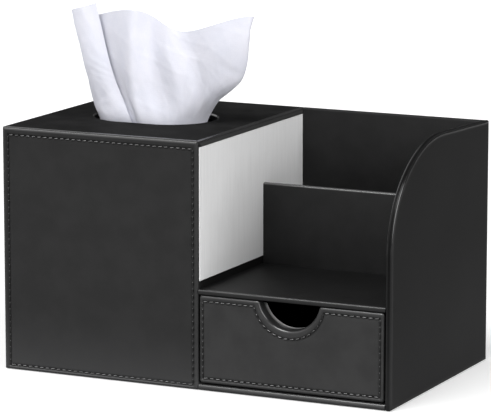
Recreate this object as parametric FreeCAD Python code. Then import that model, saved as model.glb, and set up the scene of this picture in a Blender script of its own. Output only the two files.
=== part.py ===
"""Tissue box with a drawer: a housing for a stack of tissues, an open shelf over
a drawer, and a tall rear slot. Thin boards wrapped in PU leather.

Frame: +Z up, the front faces -Y, origin under the middle of the box.
Lengths are in millimetres.
"""
import FreeCAD
import Part
import math
import os

Vec = FreeCAD.Vector
X, Y, Z = 0, 1, 2

# the whole box
width = 260.0
depth = 152.0
height = 152.0
board = 4.0                 # thickness of a wrapped board
edge_round = 1.5            # radius of a wrapped edge
housing_right = 4.0         # the housing's right face, from the middle of the box
wall_foot = 67.0            # height at which the pale lining of the wall starts
sheet = 0.6                 # thickness of a glued lining sheet

# the opening in the top: a slot with round ends
mouth_length = 79.0
mouth_width = 57.0

# shelf, divider and side panel
shelf_top = 62.0
shelf_thickness = 3.0       # the shelf is thinner than the other boards
shelf_round = 1.2
divider_front = 13.6
divider_top = 113.0
sweep_foot = 92.0           # the side panel's front edge stands straight up to here,
sweep_depth = 75.0          # then a quarter ellipse leans back by this much,
crown_rise = 3.0            # and its crown stands this far above the boards' height

# drawer
bay_gap = 0.8               # play beside the drawer
glide = 0.4                 # play under the drawer
front_thickness = 6.0
front_wall = 5.0
drawer_wall = 4.0
drawer_side_top = 54.0
top_gap = 0.3               # play between the drawer front and the shelf over it
notch_radius = 20.1
notch_rise = 3.7            # the notch's centre, above the drawer front's top edge
notch_shift = -1.0          # and to the left of the drawer's middle

# flap under the housing
flap_gap = 0.6
flap_lift = 0.8             # the flap's underside, above the table
strip_width = 16.0
strip_thickness = 0.7
tab_length = 18.0
tab_width = 15.0
disc_radius = 4.0
disc_thickness = 2.0
disc_spacing = 80.0
batten_depth = 10.0
batten_height = 8.0

# tissues
stack_side = 110.0
stack_height = 108.0
stack_corner = 5.0
ring_sides = 12             # flat sides of the raised tissue

# planes that several pieces share
left = -width / 2
right = width / 2
front = -depth / 2
back = depth / 2
cavity_left = left + board
cavity_right = housing_right - board
bay_right = right - board
back_inner = back - board
front_inner = front + board
roof = height - board
housing_middle = (cavity_left + cavity_right) / 2
bay_middle = (housing_right + bay_right) / 2
shelf_bottom = shelf_top - shelf_thickness
flap_top = flap_lift + board


def box(x0, x1, y0, y1, z0, z1):
    """A block between three pairs of planes."""
    return Part.makeBox(x1 - x0, y1 - y0, z1 - z0, Vec(x0, y0, z0))


def in_plane(edge, axis, value):
    """Whether both ends of an edge lie in the plane where axis equals value."""
    return all(abs(v.Point[axis] - value) < 1e-6 for v in edge.Vertexes)


def round_edges(shape, radius, *pairs):
    """Round each edge that lies in both planes of one of the pairs."""
    picked = [e for e in shape.Edges
              if any(in_plane(e, *a) and in_plane(e, *b) for a, b in pairs)]
    return shape.makeFillet(radius, picked)


def rectangle(axis, value, low, high):
    """A closed rectangle in the plane where axis equals value.

    low and high hold the two other coordinates, in X, Y, Z order."""
    others = [a for a in (X, Y, Z) if a != axis]
    corners = [(low[0], low[1]), (high[0], low[1]), (high[0], high[1]), (low[0], high[1])]
    points = []
    for pair in corners:
        point = [0.0, 0.0, 0.0]
        point[axis] = value
        point[others[0]] = pair[0]
        point[others[1]] = pair[1]
        points.append(Vec(*point))
    return Part.makePolygon(points + points[:1])


def mitred(axis, outside, outer, inside, inner):
    """A board whose edges are cut on the slant, from its outer face to its inner one."""
    return Part.makeLoft([rectangle(axis, outside, *outer), rectangle(axis, inside, *inner)],
                         True, True)


def oblong(length, breadth, x, y, z, rise):
    """An upright prism with the outline of a slot: two straight sides and round ends."""
    straight = (length - breadth) / 2
    r = breadth / 2
    near = Part.LineSegment(Vec(x - straight, y - r, z), Vec(x + straight, y - r, z))
    east = Part.Arc(near.EndPoint, Vec(x + straight + r, y, z), Vec(x + straight, y + r, z))
    far = Part.LineSegment(east.EndPoint, Vec(x - straight, y + r, z))
    west = Part.Arc(far.EndPoint, Vec(x - straight - r, y, z), near.StartPoint)
    wire = Part.Wire([c.toShape() for c in (near, east, far, west)])
    return Part.Face(wire).extrude(Vec(0, 0, rise))


def round_mouth_rim(panel):
    """Round the upper rim of the opening, where the leather turns down into it."""
    rim = [e for e in panel.Edges if in_plane(e, Z, height)
           and abs(e.CenterOfMass.x - housing_middle) < mouth_length / 2
           and abs(e.CenterOfMass.y) < mouth_width / 2 + 0.1]
    return panel.makeFillet(edge_round, rim)


def housing_form():
    """The housing's outer form, with its wrapped corners rounded."""
    block = box(left, housing_right, front, back, 0, height)
    planes = {"left": (X, left), "right": (X, housing_right), "front": (Y, front),
              "back": (Y, back), "top": (Z, height)}
    corners = ("left front", "left back", "left top", "front top", "back top", "right front")
    return round_edges(block, edge_round,
                       *[tuple(planes[name] for name in pair.split()) for pair in corners])


def housing_pieces():
    """The boards round the tissue cavity, mitred where two outer faces meet."""
    form = housing_form()
    front_panel = mitred(Y, front, ((left, 0), (housing_right, height)),
                         front_inner, ((cavity_left, 0), (housing_right, roof)))
    left_panel = mitred(X, left, ((front, 0), (back, height)),
                        cavity_left, ((front_inner, 0), (back_inner, roof)))
    lid_right = housing_right + sheet
    top_panel = mitred(Z, height, ((left, front), (lid_right, back)),
                       roof, ((cavity_left, front_inner), (lid_right, back_inner)))
    lid_form = round_edges(box(left, lid_right, front, back, 0, height), edge_round,
                           ((X, left), (Z, height)), ((X, lid_right), (Z, height)),
                           ((Y, front), (Z, height)), ((Y, back), (Z, height)))
    top_panel = top_panel.common(lid_form)
    top_panel = top_panel.cut(oblong(mouth_length, mouth_width, housing_middle, 0,
                                     roof - board, 3 * board))
    return {
        "front_panel": front_panel.common(form),
        "left_panel": left_panel.common(form),
        "top_panel": round_mouth_rim(top_panel),
        "inner_wall": box(cavity_right, housing_right, front_inner, back_inner, 0, roof),
        "wall_lining": box(housing_right, lid_right, front + edge_round, back_inner,
                           wall_foot, roof),
    }


def back_panel():
    """One board across the whole back: mitred under the top panel and at both sides."""
    behind_housing = mitred(Y, back, ((left, 0), (housing_right, height)),
                            back_inner, ((cavity_left, 0), (housing_right, roof)))
    behind_slot = mitred(Y, back, ((housing_right, 0), (right, height)),
                         back_inner, ((housing_right, 0), (bay_right, height)))
    form = round_edges(box(left, right, front, back, 0, height), edge_round,
                       ((X, left), (Y, back)), ((X, right), (Y, back)),
                       ((Y, back), (Z, height)))
    lid_end = box(housing_right, housing_right + sheet, back_inner, back, roof, height)
    return behind_housing.fuse(behind_slot).removeSplitter().common(form).cut(lid_end)


def side_outline():
    """The side panel's outline: straight up, round the sweep, then gently down to the back."""
    foot = Vec(bay_right, front, 0)
    spring = Vec(bay_right, front, sweep_foot)
    crown = Vec(bay_right, front + sweep_depth, height + crown_rise)
    rear_top = Vec(bay_right, back, height)
    rear_foot = Vec(bay_right, back, 0)
    centre = Vec(bay_right, crown.y, spring.z)
    sweep_height = crown.z - spring.z
    # the top edge touches the ellipse: the tangent from the rear corner, on a unit circle
    across = (back - centre.y) / sweep_depth
    up = (height - centre.z) / sweep_height
    turn = math.atan2(across, up) - math.acos(1.0 / math.hypot(across, up))
    touch = Vec(bay_right, centre.y + sweep_depth * math.sin(turn),
                centre.z + sweep_height * math.cos(turn))
    ellipse = Part.Ellipse(spring, crown, centre)
    sweep = Part.ArcOfEllipse(ellipse, ellipse.parameter(spring), ellipse.parameter(touch))
    runs = [Part.LineSegment(foot, spring), sweep, Part.LineSegment(touch, rear_top),
            Part.LineSegment(rear_top, rear_foot), Part.LineSegment(rear_foot, foot)]
    return Part.Wire([run.toShape() for run in runs])


def right_panel():
    """The swept side panel, wrapped round its front edge and mitred at the back."""
    blank = Part.Face(side_outline()).extrude(Vec(board, 0, 0))
    wrapped = [e for e in blank.Edges
               if (in_plane(e, X, right) or in_plane(e, X, bay_right))
               and e.CenterOfMass.z > board and e.CenterOfMass.y < back_inner]
    upright = [e for e in blank.Edges if in_plane(e, X, right) and in_plane(e, Y, back)]
    panel = blank.makeFillet(edge_round, wrapped + upright)
    corner = Part.makePolygon([Vec(bay_right, back_inner, 0), Vec(right, back, 0),
                               Vec(bay_right, back, 0), Vec(bay_right, back_inner, 0)])
    return panel.cut(Part.Face(corner).extrude(Vec(0, 0, height + crown_rise)))


def shelf_pieces():
    """Base board, shelf board and divider, all between the wall and the side panel."""
    base = box(housing_right, bay_right, front, back_inner, 0, board)
    base = round_edges(base, edge_round, ((Y, front), (Z, board)))
    turned_in = 8.0         # leather margin left round the felt under the base
    felt = box(housing_right + turned_in, bay_right - turned_in,
               front + turned_in, back_inner - turned_in, 0, sheet)
    shelf = box(housing_right, bay_right, front, divider_front, shelf_bottom, shelf_top)
    shelf = round_edges(shelf, shelf_round, ((Y, front), (Z, shelf_top)),
                        ((Y, front), (Z, shelf_bottom)))
    divider_back = divider_front + board
    divider = box(housing_right, bay_right, divider_front, divider_back, board, divider_top)
    divider = divider.cut(box(housing_right, housing_right + sheet, divider_front,
                              divider_back, wall_foot, divider_top))
    divider = round_edges(divider, edge_round, ((Y, divider_front), (Z, divider_top)),
                          ((Y, divider_back), (Z, divider_top)))
    return {"base_board": base.cut(felt), "base_felt": felt,
            "shelf_board": shelf, "divider_panel": divider}


def disc_places():
    """Where the two magnets and the two steel discs under them stand."""
    return [Vec(housing_middle + side * disc_spacing / 2, front_inner + batten_depth / 2, 0)
            for side in (-1, 1)]


def discs(z, radius=disc_radius):
    """Two discs whose lower faces are at height z."""
    return [Part.makeCylinder(radius, disc_thickness, Vec(p.x, p.y, z)) for p in disc_places()]


def catch_pieces():
    """The batten that stops the flap, and the magnets let into its underside."""
    catch_gap = 0.3
    pocket_play = 0.05
    foot = flap_top + catch_gap
    batten = box(cavity_left, cavity_right, front_inner, front_inner + batten_depth,
                 foot, foot + batten_height)
    batten = batten.cut(Part.makeCompound(discs(foot, disc_radius + pocket_play)))
    return {"stop_batten": batten, "stop_magnets": Part.makeCompound(discs(foot))}


def flap_pieces():
    """The loading flap: a wrapped board, its hinge strip, steel discs and pull tab."""
    pocket_play = 0.05
    disc_foot = flap_top - disc_thickness
    flap = box(cavity_left + flap_gap, cavity_right - flap_gap,
               front_inner + flap_gap, back_inner - flap_gap, flap_lift, flap_top)
    flap = flap.cut(Part.makeCompound(discs(disc_foot, disc_radius + pocket_play)))
    under = flap_lift - strip_thickness
    strip = box(cavity_left + flap_gap, cavity_right - flap_gap,
                back_inner - strip_width, back_inner - flap_gap / 2, under, flap_lift)
    tab_front = front_inner + flap_gap
    tab = box(housing_middle - tab_width / 2, housing_middle + tab_width / 2,
              tab_front, tab_front + tab_length, under, flap_lift)
    return {"bottom_flap": flap, "flap_hinge_strip": strip, "flap_pull_tab": tab,
            "flap_steel_discs": Part.makeCompound(discs(disc_foot))}


def notch_cutter(front_top):
    """The round finger notch, through the drawer front and the wall behind it."""
    return Part.makeCylinder(notch_radius, front_thickness + front_wall + 2 * board,
                             Vec(bay_middle + notch_shift, front - board,
                                 front_top + notch_rise),
                             Vec(0, 1, 0))


def drawer_front(front_foot, front_top):
    """The wrapped drawer front with its notch, rounded along every front edge."""
    face_left = housing_right + bay_gap
    face_right = bay_right - bay_gap
    face = box(face_left, face_right, front, front + front_thickness, front_foot, front_top)
    face = face.cut(notch_cutter(front_top))
    facing = [e for e in face.Edges if in_plane(e, Y, front)]
    return face.makeFillet(edge_round, facing)


def drawer_pieces():
    """The drawer: wrapped front, front wall, two sides, back, bottom and felt."""
    foot = board + glide
    front_foot = board + bay_gap
    front_top = shelf_bottom - top_gap
    outer_left = housing_right + 1.5 * bay_gap
    outer_right = bay_right - 1.5 * bay_gap
    inner_left = outer_left + drawer_wall
    inner_right = outer_right - drawer_wall
    wall_front = front + front_thickness
    inner_front = wall_front + front_wall
    outer_back = divider_front - 2 * bay_gap
    inner_back = outer_back - drawer_wall
    floor = foot + board
    wall = box(outer_left, outer_right, wall_front, inner_front, foot, drawer_side_top + 2)
    return {
        "drawer_front": drawer_front(front_foot, front_top),
        "drawer_front_wall": wall.cut(notch_cutter(front_top)),
        "drawer_left_side": box(outer_left, inner_left, inner_front, outer_back,
                                foot, drawer_side_top),
        "drawer_right_side": box(inner_right, outer_right, inner_front, outer_back,
                                 foot, drawer_side_top),
        "drawer_back": box(inner_left, inner_right, inner_back, outer_back,
                           foot, drawer_side_top),
        "drawer_bottom": box(inner_left, inner_right, inner_front, inner_back, foot, floor),
        "drawer_felt": box(inner_left, inner_right, inner_front, inner_back,
                           floor, floor + sheet),
    }


def tissue_stack():
    """The stack of folded tissues, standing on the flap."""
    rest = flap_top + glide
    half = stack_side / 2
    stack = box(housing_middle - half, housing_middle + half, -half, half,
                rest, rest + stack_height)
    upright = [e for e in stack.Edges if abs(e.Vertexes[0].Z - e.Vertexes[1].Z) > 1]
    return stack.makeFillet(stack_corner, upright)


def ellipse_ring(z, x, half_x, half_y):
    """A level ring round the tissue's middle line: an ellipse with flat sides."""
    turns = [2 * math.pi * k / ring_sides for k in range(ring_sides)]
    points = [Vec(x + half_x * math.cos(t), half_y * math.sin(t), z) for t in turns]
    return Part.makePolygon(points + points[:1])


def tissue_sheet():
    """The tissue that stands up out of the opening: a narrow neck that fans out,
    with a hollow between the two raised corners of its upper edge."""
    neck = flap_top + glide + stack_height
    lean = 5.0              # the fan leans this far to the right of the opening's middle
    rings = [(neck, 0, 12, 8), (roof, 0, 30, 9), (height + 4, 0, 36, 11),
             (height + 22, 0.6 * lean, 49, 15), (height + 45, lean, 58, 20),
             (height + 70, lean, 62, 23)]
    fan = Part.makeLoft([ellipse_ring(z, housing_middle + dx, rx, ry)
                         for z, dx, rx, ry in rings], True, True)
    dip = height + 54.5     # lowest point of the upper edge
    dip_radius = 112.0
    scoop = Part.makeCylinder(dip_radius, stack_side,
                              Vec(housing_middle + 3 * lean, -stack_side / 2, dip + dip_radius),
                              Vec(0, 1, 0))
    return fan.cut(scoop)


def build():
    """Every piece of the tissue box, by name."""
    pieces = {}
    pieces.update(housing_pieces())
    pieces["back_panel"] = back_panel()
    pieces["right_panel"] = right_panel()
    pieces.update(shelf_pieces())
    pieces.update(catch_pieces())
    pieces.update(flap_pieces())
    pieces.update(drawer_pieces())
    pieces["tissue_stack"] = tissue_stack()
    pieces["tissue_sheet"] = tissue_sheet()
    return pieces


os.makedirs("parts", exist_ok=True)
for name, shape in build().items():
    shape.exportStep("parts/" + name + ".step")
    print(name, len(shape.Solids), "solid(s), volume", round(shape.Volume), "mm3")
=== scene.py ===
import bmesh
import bpy
import math
import numpy as np
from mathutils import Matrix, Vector


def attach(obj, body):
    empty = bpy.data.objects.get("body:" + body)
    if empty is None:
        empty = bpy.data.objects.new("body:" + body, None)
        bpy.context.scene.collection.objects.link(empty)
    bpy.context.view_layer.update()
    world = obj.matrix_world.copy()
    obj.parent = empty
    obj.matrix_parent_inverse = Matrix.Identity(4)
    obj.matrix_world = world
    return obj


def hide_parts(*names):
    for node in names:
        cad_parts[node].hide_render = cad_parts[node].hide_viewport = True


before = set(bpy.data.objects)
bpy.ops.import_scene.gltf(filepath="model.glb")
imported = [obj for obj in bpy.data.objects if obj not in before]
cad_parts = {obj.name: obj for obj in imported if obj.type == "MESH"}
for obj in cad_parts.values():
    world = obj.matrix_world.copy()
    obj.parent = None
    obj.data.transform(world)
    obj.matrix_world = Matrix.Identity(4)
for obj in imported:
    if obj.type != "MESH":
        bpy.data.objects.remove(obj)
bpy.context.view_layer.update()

# lengths in the settings are in millimetres, and meshes are made in metres
mm = 0.001


def inScene(name, data):
    # a new object round its data, put in the scene
    made = bpy.data.objects.new(name, data)
    bpy.context.scene.collection.objects.link(made)
    return made


def aimed(name, data, azimuth, elevation, distance, aim=(0.0, 0.0, 0.0)):
    # on a sphere round its aim and turned towards it, azimuth 0 being straight in front
    az, el = math.radians(azimuth), math.radians(elevation)
    away = Vector((math.sin(az) * math.cos(el), -math.cos(az) * math.cos(el), math.sin(el)))
    made = inScene(name, data)
    made.location = Vector(aim) + away * distance
    made.rotation_euler = (-away).to_track_quat("-Z", "Y").to_euler()
    return made


cameraSettings = {"azimuth": 25.70, "elevation": 10.37, "distance": 2.0678,
                  "aim": (-0.00104, 0.0, 0.09906), "lens": 245.23, "sensor": 36.0,
                  "near": 0.1, "far": 50.0}


def placeCamera(s):
    data = bpy.data.cameras.new("camera")
    data.lens, data.sensor_width = s["lens"], s["sensor"]
    data.clip_start, data.clip_end = s["near"], s["far"]
    bpy.context.scene.camera = aimed("camera", data, s["azimuth"], s["elevation"],
                                     s["distance"], s["aim"])


placeCamera(cameraSettings)
print("camera placed")


def put(socket, value):
    # another socket is joined to this one, and a plain value is set on it
    if isinstance(value, bpy.types.NodeSocket):
        socket.id_data.links.new(value, socket)
    else:
        socket.default_value = value


def addNode(tree, kind, **values):
    # a shader node of a kind, its properties and its inputs set by name
    node = tree.nodes.new("ShaderNode" + kind)
    for key, value in values.items():
        if hasattr(node, key):
            setattr(node, key, value)
        else:
            put(node.inputs[key.replace("_", " ")], value)
    return node


def calc(operation, *values, clamp=False):
    # one step of arithmetic on sockets and plain numbers
    tree = next(v for v in values if isinstance(v, bpy.types.NodeSocket)).id_data
    node = addNode(tree, "Math", operation=operation, use_clamp=clamp)
    for socket, value in zip(node.inputs, values):
        put(socket, value)
    return node.outputs[0]


def weighted(*parts):
    # the sum of sockets, each times its share
    total = None
    for socket, share in parts:
        part = calc("MULTIPLY", socket, share)
        total = part if total is None else calc("ADD", total, part)
    return total


def noiseAt(vector, scale, detail=2.0, roughness=0.5):
    return addNode(vector.id_data, "TexNoise", Vector=vector, Scale=scale, Detail=detail,
                   Roughness=roughness).outputs[0]


def wandering(vector, scale, detail, reach):
    # places pushed about by a coarse noise, so that a pattern laid on them wanders
    noise = addNode(vector.id_data, "TexNoise", Vector=vector, Scale=scale, Detail=detail)
    shift = addNode(vector.id_data, "VectorMath", operation="MULTIPLY_ADD")
    for socket, value in zip(shift.inputs, (noise.outputs["Color"], (reach,) * 3, vector)):
        put(socket, value)
    return shift.outputs[0]


def partOf(vector, axis):
    node = addNode(vector.id_data, "SeparateXYZ")
    put(node.inputs[0], vector)
    return node.outputs[axis]


def painted(tree, label):
    return addNode(tree, "Attribute", attribute_name=label).outputs["Fac"]


def newGroup(name, inputs, outputs):
    # a node group with a vector socket for each input given as None, and float sockets besides
    group = bpy.data.node_groups.new(name, "ShaderNodeTree")
    for label, value in inputs.items():
        kind = "NodeSocketVector" if value is None else "NodeSocketFloat"
        socket = group.interface.new_socket(name=label, in_out="INPUT", socket_type=kind)
        if value is not None:
            socket.default_value = value
    for label in outputs:
        group.interface.new_socket(name=label, in_out="OUTPUT", socket_type="NodeSocketFloat")
    enter, leave = (group.nodes.new("NodeGroup" + end) for end in ("Input", "Output"))
    return enter.outputs, leave.inputs, group


def makeGrainGroup():
    # pressed leather grain: small pebbles parted by creases, over a slow rise and fall of the board
    enter, leave, group = newGroup(
        "pressedGrain",
        {"Position": None, "Pebbles per metre": 1500.0, "Crease": 0.5, "Unevenness": 0.5},
        ("Height", "Mottle", "Slow"))
    where = enter["Position"]
    cells = addNode(group, "TexVoronoi", feature="DISTANCE_TO_EDGE",
                    Vector=wandering(where, 420.0, 1.0, 0.0009), Scale=enter["Pebbles per metre"])
    dome = calc("SMOOTH_MIN", calc("MULTIPLY", cells.outputs["Distance"], 2.6), 0.7, 0.4)
    fine = calc("MULTIPLY", noiseAt(where, 2600.0, 3.0, 0.6), 0.25)
    put(leave["Height"], calc("ADD", calc("MULTIPLY", dome, enter["Crease"]), fine))
    put(leave["Mottle"], noiseAt(where, 70.0, 4.0, 0.55))
    put(leave["Slow"], calc("MULTIPLY", noiseAt(where, 16.0, 1.5, 0.4), enter["Unevenness"]))
    return group


def makeWearGroup():
    # rubbed edges and painted highlight: the mask painted along each rim, broken up by noise so
    # that it comes and goes
    enter, leave, group = newGroup(
        "rubbedEdge", {"Position": None, "Rim": 0.0, "Amount": 0.5}, ("Mask",))
    where = enter["Position"]
    mixed = weighted((noiseAt(where, 55.0, 3.0, 0.6), 0.75), (noiseAt(where, 900.0), 0.35))
    mask = calc("MULTIPLY", enter["Rim"], mixed)
    put(leave["Mask"], calc("MULTIPLY", mask, enter["Amount"], clamp=True))
    return group


grainGroup = makeGrainGroup()
wearGroup = makeWearGroup()


def startMaterial(name, **values):
    # a material with its shader's plain values set, its shader's inputs and its coordinates
    material = bpy.data.materials.new(name)
    material.use_nodes = True
    tree = material.node_tree
    shader = tree.nodes["Principled BSDF"].inputs
    for key, value in values.items():
        shader[key.replace("_", " ")].default_value = value
    return material, tree, shader, addNode(tree, "TexCoord").outputs


def ramp(factor, *stops):
    # a smooth ramp between two colours, each stop being (place, (r, g, b))
    node = addNode(factor.id_data, "ValToRGB", Fac=factor)
    node.color_ramp.interpolation = "EASE"
    for element, (position, colour) in zip(node.color_ramp.elements, stops):
        element.position, element.color = position, (*colour, 1.0)
    return node.outputs["Color"]


def mixColour(factor, under, over):
    # a colour socket with a plain colour laid over it
    node = addNode(factor.id_data, "Mix", data_type="RGBA")
    for index, value in ((0, factor), (6, under), (7, (*over, 1.0))):
        put(node.inputs[index], value)
    return node.outputs[2]


def bumped(shader, *layers):
    # bump layers one over another, each (height socket, distance in metres, strength)
    before = {}
    for height, distance, strength in layers:
        node = addNode(height.id_data, "Bump", Height=height, Distance=distance,
                       Strength=strength, **before)
        before = {"Normal": node.outputs["Normal"]}
    put(shader["Normal"], before["Normal"])


# the rim colour is partly wear and partly painted highlight, the colour of the seam's holes is
# painted shade, the foot colour near the floor is painted light, and the tone scale of each leather
# copy is painted light and shade
leatherSettings = {"dark": (0.0095, 0.0095, 0.0096), "light": (0.0135, 0.0135, 0.0136),
                   "rubbed": (0.040, 0.040, 0.041), "hollow": (0.002, 0.002, 0.002),
                   "roughness": 0.48, "pebbles": 1450.0, "specular": 0.22, "upward": 1.6,
                   "sideways": 0.06, "footHigh": 0.040, "grainDepth": 0.00006,
                   "boardWave": 0.0022, "lift": 1.0, "dullness": 0.0, "pale": None, "worn": 1.0,
                   "coat": 1.85, "coatRoughness": 0.17, "foot": 0.0, "wear": 0.25, "shade": 0.75,
                   "polish": 0.16, "mottleDull": 0.10}


def leatherMaterial(name, **changes):
    # black pressed leather: grain in the bump, a faint mottle in the colour, rims polished and
    # paler where they face up, partly wear and partly painted highlight, undersides without gloss
    # as painted shade, a foot painted paler as painted light from the floor, and painted shade
    # along the seam
    s = {**leatherSettings, **changes}
    material, tree, shader, place = startMaterial(
        name, Coat_Roughness=s["coatRoughness"], Coat_IOR=s["coat"])
    grain = addNode(tree, "Group", node_tree=grainGroup, Position=place["Object"],
                    Pebbles_per_metre=s["pebbles"]).outputs
    facing = partOf(place["Normal"], "Z")
    # rims that face up get more of the paler rim colour, a painted highlight from the light above,
    # and more coat
    handled = calc("MULTIPLY_ADD", facing, s["upward"], s["sideways"], clamp=True)
    rim = calc("MULTIPLY", handled, painted(tree, "rim"))
    wear = addNode(tree, "Group", node_tree=wearGroup, Position=place["Object"], Rim=rim,
                   Amount=s["wear"]).outputs
    dark, light, rubbed = (tuple(c * s[share] for c in s[tone]) for tone, share in
                           (("dark", "lift"), ("light", "lift"), ("rubbed", "worn")))
    colour = ramp(grain["Mottle"], (0.3, dark), (0.7, light))
    # the lower part of a board painted paler towards the floor: painted light from the floor
    if s["foot"]:
        high = partOf(place["Object"], "Z")
        low = calc("MULTIPLY_ADD", high, -1.0 / s["footHigh"], 1.0, clamp=True)
        scuffed = calc("MULTIPLY", calc("POWER", low, 1.5), s["foot"])
        colour = mixColour(scuffed, colour, s["rubbed"])
    # the paler rim colour: partly wear, partly painted highlight
    colour = mixColour(wear["Mask"], colour, rubbed)
    # painted shade along the seam's valley and in its needle holes
    shade = calc("MULTIPLY", painted(tree, "pressed"), s["shade"], clamp=True)
    colour = mixColour(shade, colour, s["hollow"])
    if s["pale"]:
        colour = mixColour(painted(tree, "pale"), colour, s["pale"])
    put(shader["Base Color"], colour)
    dull = s["roughness"] - s["mottleDull"] / 2 + s["dullness"]
    rough = calc("MULTIPLY_ADD", grain["Mottle"], s["mottleDull"], dull)
    put(shader["Roughness"], calc("SUBTRACT", rough, calc("MULTIPLY", rim, s["polish"])))
    # gloss taken off faces that look down: painted shade under things
    under = calc("MULTIPLY_ADD", facing, 1.6, 1.0, clamp=True)
    put(shader["Specular IOR Level"], calc("MULTIPLY", under, s["specular"]))
    put(shader["Coat Weight"], rim)
    bumped(shader, (grain["Slow"], s["boardWave"], 0.5), (grain["Height"], s["grainDepth"], 0.6))
    return material


threadSettings = {"dark": (0.006, 0.006, 0.006), "light": (0.013, 0.013, 0.013),
                  "waxed": (0.72, 0.72, 0.725), "roughness": 0.40}


def threadMaterial(s):
    # twisted thread: slanting plies along its own length, from its map, with a painted highlight
    # midway along each stitch where it faces up
    material, tree, shader, place = startMaterial("stitchThread", Specular_IOR_Level=0.25)
    chart = addNode(tree, "UVMap").outputs["UV"]
    along = partOf(chart, "X")
    turn = calc("ADD", calc("MULTIPLY", along, 3.0), partOf(chart, "Y"))
    ply = calc("MULTIPLY_ADD", calc("SINE", calc("MULTIPLY", turn, 12.566)), 0.5, 0.5)
    fuzz = noiseAt(place["Object"], 5200.0, 2.0)
    mixed = weighted((ply, 0.7), (fuzz, 0.3))
    normal = addNode(tree, "NewGeometry").outputs["Normal"]
    upward = calc("MULTIPLY_ADD", partOf(normal, "Z"), 4.2, -2.4, clamp=True)
    midway = calc("MULTIPLY", along, calc("SUBTRACT", 1.0, along))
    midway = calc("POWER", calc("MULTIPLY", midway, 5.5, clamp=True), 2.0)
    upward = calc("MULTIPLY", upward, midway)
    waxed = calc("MULTIPLY", upward, calc("MULTIPLY_ADD", ply, 0.4, 0.6))
    colour = ramp(mixed, (0.1, s["dark"]), (0.9, s["light"]))
    put(shader["Base Color"], mixColour(waxed, colour, s["waxed"]))
    put(shader["Roughness"], calc("MULTIPLY_ADD", fuzz, 0.2, s["roughness"]))
    bumped(shader, (mixed, 0.00008, 0.6))
    return material


# each noise is (scale, detail, roughness), the moved ones drawn out or made to wander; their
# shares make the mix that runs through the two colours, the roughness is (layer, reach, base)
# and each bump is (layer, distance in metres, strength)
plainSettings = {
    # pale suede-cloth: short upright brush marks and a slow cloudiness
    "greyLining": {
        "shader": {"Specular_IOR_Level": 0.25, "Sheen_Weight": 0.12}, "stretch": (1.0, 1.0, 0.045),
        "moved": {"brush": (620.0, 3.0, 0.6), "fibre": (2600.0, 2.0, 0.55)},
        "noises": {"cloud": (26.0, 3.0, 0.5)},
        "shares": {"brush": 0.45, "cloud": 0.35, "fibre": 0.2},
        "colours": ((0.32, (0.84, 0.84, 0.842)), (0.68, (0.92, 0.92, 0.922))),
        "roughness": ("brush", 0.15, 0.72),
        "bumps": (("brush", 0.00012, 0.4), ("fibre", 0.00005, 0.4))},
    # needled felt: matted fibres lying every way, with a soft bloom at glancing angles
    "blackFelt": {
        "shader": {"Specular_IOR_Level": 0.15, "Sheen_Weight": 0.35, "Sheen_Roughness": 0.4},
        "wander": (700.0, 2.0, 0.003),
        "moved": {"fibre": (2100.0, 4.0, 0.7)}, "noises": {"tuft": (240.0, 3.0, 0.6)},
        "shares": {"fibre": 0.6, "tuft": 0.4},
        "colours": ((0.3, (0.0055, 0.0055, 0.006)), (0.7, (0.016, 0.016, 0.017))),
        "roughness": ("fibre", 0.1, 0.88), "bumps": (("mixed", 0.0005, 0.6),)},
    # raw fibreboard: pressed brown fibres, a little darker where the glue shows
    "bareFibreboard": {
        "shader": {"Specular_IOR_Level": 0.3}, "stretch": (0.25, 1.0, 1.0),
        "moved": {"fibre": (1900.0, 4.0, 0.7)}, "noises": {"blotch": (90.0, 3.0, 0.6)},
        "shares": {"fibre": 0.65, "blotch": 0.35},
        "colours": ((0.3, (0.20, 0.135, 0.080)), (0.7, (0.34, 0.245, 0.155))),
        "roughness": ("fibre", 0.15, 0.75), "bumps": (("mixed", 0.0003, 0.5),)},
    # plated steel: fine rolling scratches and a few dull spots
    "platedSteel": {
        "shader": {"Metallic": 1.0}, "stretch": (0.06, 1.0, 1.0),
        "moved": {"scratch": (5200.0, 3.0, 0.6)}, "noises": {"spot": (480.0, 3.0, 0.5)},
        "shares": {"spot": 1.0},
        "colours": ((0.35, (0.40, 0.40, 0.41)), (0.65, (0.58, 0.58, 0.60))),
        "roughness": ("spot", 0.25, 0.22), "bumps": (("scratch", 0.00003, 0.4),)},
    # soft paper: a fine embossed dot, creping across it and a cloudy thickness
    "tissuePaper": {
        "shader": {"Specular_IOR_Level": 0.12}, "dots": 900.0,
        "noises": {"crepe": (1500.0, 3.0, 0.6), "cloud": (60.0, 4.0, 0.6)},
        "shares": {"cloud": 0.7, "crepe": 0.3},
        "colours": ((0.3, (0.775, 0.785, 0.872)), (0.7, (0.835, 0.835, 0.912))),
        "roughness": ("crepe", 0.1, 0.85),
        "bumps": (("cloud", 0.0010, 0.25), ("dots", 0.00010, 0.35), ("crepe", 0.00006, 0.5))},
}


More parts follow.
